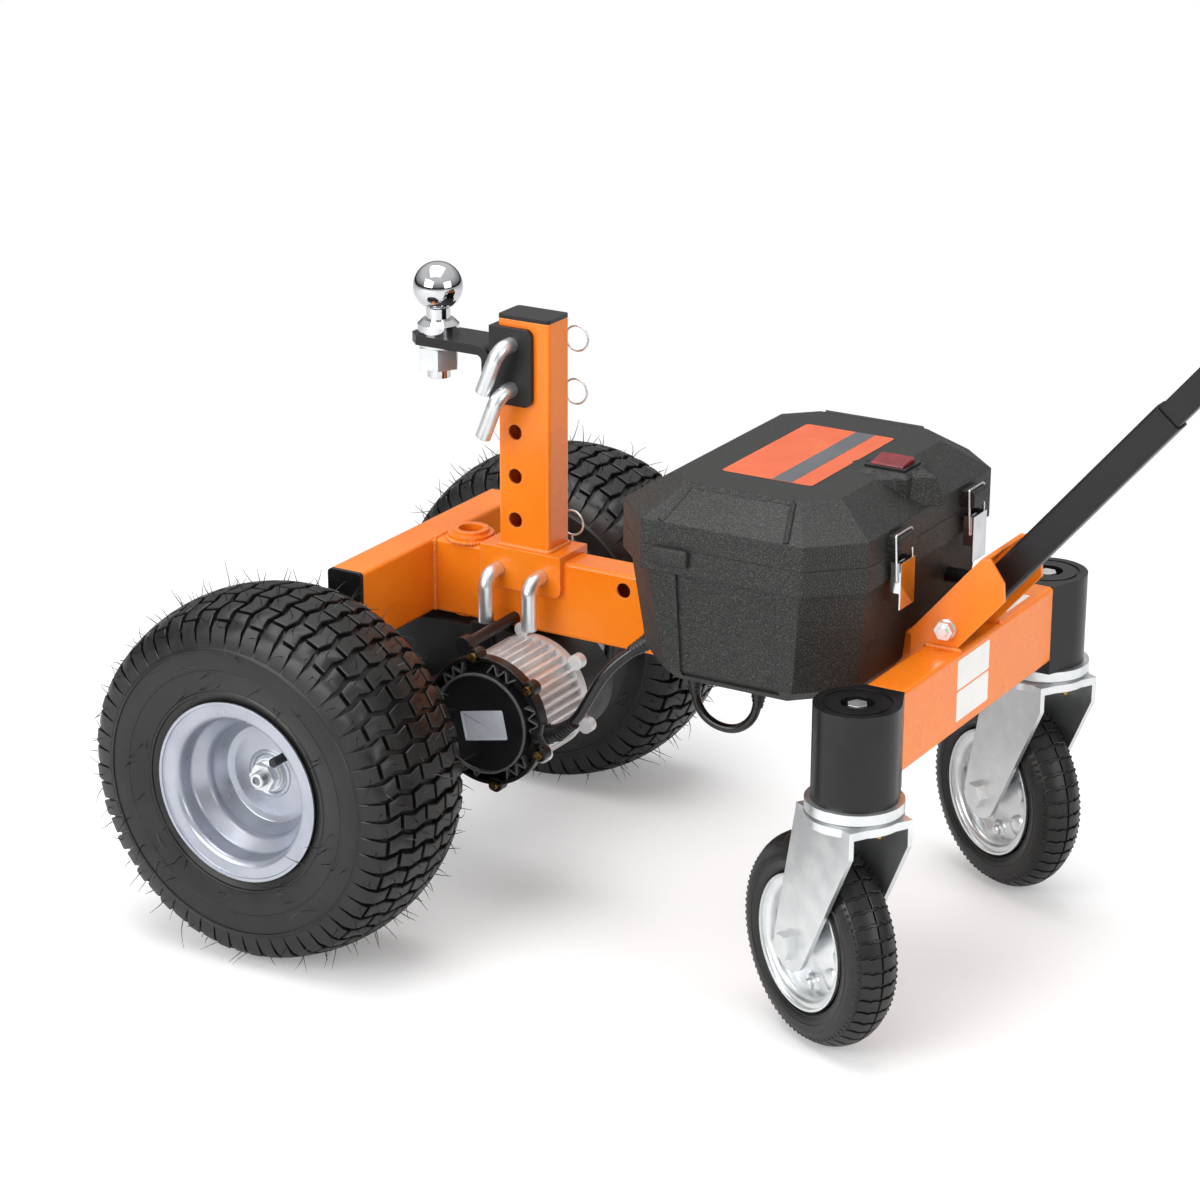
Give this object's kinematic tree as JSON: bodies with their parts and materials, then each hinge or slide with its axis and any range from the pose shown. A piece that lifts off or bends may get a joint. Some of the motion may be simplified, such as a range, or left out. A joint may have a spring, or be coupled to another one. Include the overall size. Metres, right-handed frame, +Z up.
{
  "type": "electric trailer dolly",
  "caption": "Battery driven dolly that carries a trailer's coupler on a tow ball, with turf drive wheels, swivel casters, a battery box and a pull handle",
  "frame": {"origin": "on the ground, at the middle of the length and width", "axes": "+X from the drive axle toward the casters and the handle, +Y across, +Z up"},
  "size_m": [1.3818, 0.7062, 1.0602],
  "materials": {
    "orange_powder_coat": "semi-gloss powder coat",
    "black_powder_coat": "satin powder coat",
    "black_plastic": "moulded, fine grain",
    "chrome_plate": "polished chrome",
    "zinc_plate": "bright zinc plate",
    "machined_steel": "machined",
    "grey_gearbox": "black painted casting",
    "cast_aluminium": "cast fins",
    "silver_paint": "silver wheel paint",
    "tire_rubber": "moulded rubber",
    "soft_rubber": "soft grip",
    "red_plastic": "glossy"
  },
  "bodies": {
    "frame": {"rear_cross_tube": "orange_powder_coat", "tube_caps": "black_plastic", "spine_tube": "orange_powder_coat", "stem_socket": "orange_powder_coat", "front_cross_tube": "orange_powder_coat", "mast_tube": "orange_powder_coat", "saddle_plate": "orange_powder_coat", "ball_bar": "black_powder_coat", "ball_channel": "black_powder_coat", "tow_ball": "chrome_plate", "ball_nut": "zinc_plate", "hitch_pins": "zinc_plate", "pin_clips": "zinc_plate", "gearbox_housing": "grey_gearbox", "axle_housing": "black_powder_coat", "motor_body": "cast_aluminium", "motor_end_cap": "black_plastic", "motor_screws": "zinc_plate", "gearbox_mounts": "orange_powder_coat", "caster_housing_near": "black_plastic", "caster_housing_far": "black_plastic", "housing_caps": "black_plastic", "kingpins": "zinc_plate", "swivel_plates": "zinc_plate", "box_body": "black_plastic", "lid_hinge_pin": "zinc_plate", "batteries": "black_plastic", "controller": "black_plastic", "handle_bracket": "orange_powder_coat", "pivot_bolt": "zinc_plate", "motor_cable": "soft_rubber", "loop_cable": "soft_rubber", "cable_glands": "black_plastic"},
    "drive_wheels": {"drive_tire_near": "tire_rubber", "drive_tire_far": "tire_rubber", "drive_rims": "silver_paint", "drive_axle": "machined_steel", "axle_nuts": "zinc_plate"},
    "layshaft": {"layshaft": "machined_steel"},
    "rotor": {"motor_rotor": "machined_steel"},
    "lid": {"box_lid": "black_plastic", "switch_bezel": "black_plastic"},
    "rocker": {"power_rocker": "red_plastic"},
    "handle": {"handle_sleeve": "black_powder_coat", "handle_tube": "black_powder_coat", "handle_crossbar": "black_powder_coat", "handle_grips": "soft_rubber", "control_head": "black_plastic"},
    "direction_switch": {"direction_rocker": "black_plastic"},
    "throttle": {"throttle_lever": "red_plastic"},
    "caster_near": {"caster_fork_near": "zinc_plate"},
    "caster_wheel_near": {"caster_tire_near": "tire_rubber", "caster_rim_near": "zinc_plate"},
    "latch_near": {"latch_lever_near": "chrome_plate"},
    "bail_near": {"latch_bail_near": "chrome_plate"},
    "caster_far": {"caster_fork_far": "zinc_plate"},
    "caster_wheel_far": {"caster_tire_far": "tire_rubber", "caster_rim_far": "zinc_plate"},
    "latch_far": {"latch_lever_far": "chrome_plate"},
    "bail_far": {"latch_bail_far": "chrome_plate"}
  },
  "joints": [
    {"name": "drive_spin", "type": "hinge", "parent": "frame", "child": "drive_wheels", "pos_m": [-0.50285, 0, 0.188], "axis": [0, 1, 0], "continuous": true},
    {"name": "layshaft_spin", "type": "hinge", "parent": "frame", "child": "layshaft", "pos_m": [-0.41581, 0, 0.2053], "axis": [0, 1, 0], "continuous": true},
    {"name": "rotor_spin", "type": "hinge", "parent": "frame", "child": "rotor", "pos_m": [-0.35696, 0, 0.21699], "axis": [0, 1, 0], "continuous": true},
    {"name": "lid_hinge", "type": "hinge", "parent": "frame", "child": "lid", "pos_m": [-0.19685, 0, 0.46], "axis": [0, -1, 0], "range_deg": [0, 105]},
    {"name": "power_switch", "type": "hinge", "parent": "lid", "child": "rocker", "pos_m": [0.02815, 0, 0.5166], "axis": [1, 0, 0], "range_deg": [-20, 0]},
    {"name": "handle_hinge", "type": "hinge", "parent": "frame", "child": "handle", "pos_m": [0.11165, 0, 0.38], "axis": [0, 1, 0], "range_deg": [-3, 48]},
    {"name": "throttle_turn", "type": "hinge", "parent": "handle", "child": "throttle", "pos_m": [0.67435, 0, 1.04352], "axis": [0, 1, 0], "range_deg": [0, 30], "stiffness_Nm_per_rad": 0.4},
    {"name": "direction_turn", "type": "hinge", "parent": "handle", "child": "direction_switch", "pos_m": [0.60368, 0, 1.01692], "axis": [0, 1, 0], "range_deg": [-12, 12]},
    {"name": "caster_swivel_near", "type": "hinge", "parent": "frame", "child": "caster_near", "pos_m": [0.10215, -0.21275, 0.249], "axis": [0, 0, 1], "continuous": true},
    {"name": "caster_spin_near", "type": "hinge", "parent": "caster_near", "child": "caster_wheel_near", "pos_m": [0.05842, -0.18851, 0.105], "axis": [0.4848, 0.8746, 0], "continuous": true},
    {"name": "latch_hinge_near", "type": "hinge", "parent": "frame", "child": "latch_near", "pos_m": [0.07815, -0.08, 0.452], "axis": [0, -1, 0], "range_deg": [0, 110]},
    {"name": "bail_hinge_near", "type": "hinge", "parent": "latch_near", "child": "bail_near", "pos_m": [0.08215, -0.08, 0.437], "axis": [0, -1, 0], "range_deg": [-110, 0]},
    {"name": "caster_swivel_far", "type": "hinge", "parent": "frame", "child": "caster_far", "pos_m": [0.10215, 0.21275, 0.249], "axis": [0, 0, 1], "continuous": true},
    {"name": "caster_spin_far", "type": "hinge", "parent": "caster_far", "child": "caster_wheel_far", "pos_m": [0.05842, 0.23699, 0.105], "axis": [0.4848, 0.8746, 0], "continuous": true},
    {"name": "latch_hinge_far", "type": "hinge", "parent": "frame", "child": "latch_far", "pos_m": [0.07815, 0.08, 0.452], "axis": [0, -1, 0], "range_deg": [0, 110]},
    {"name": "bail_hinge_far", "type": "hinge", "parent": "latch_far", "child": "bail_far", "pos_m": [0.08215, 0.08, 0.437], "axis": [0, -1, 0], "range_deg": [-110, 0]}
  ],
  "couplings": [
    {"joint": "layshaft_spin", "follows": "drive_spin", "ratio": -4.9167},
    {"joint": "rotor_spin", "follows": "drive_spin", "ratio": 19.667},
    {"joint": "bail_hinge_near", "follows": "latch_hinge_near", "ratio": -1},
    {"joint": "bail_hinge_far", "follows": "latch_hinge_far", "ratio": -1}
  ]
}
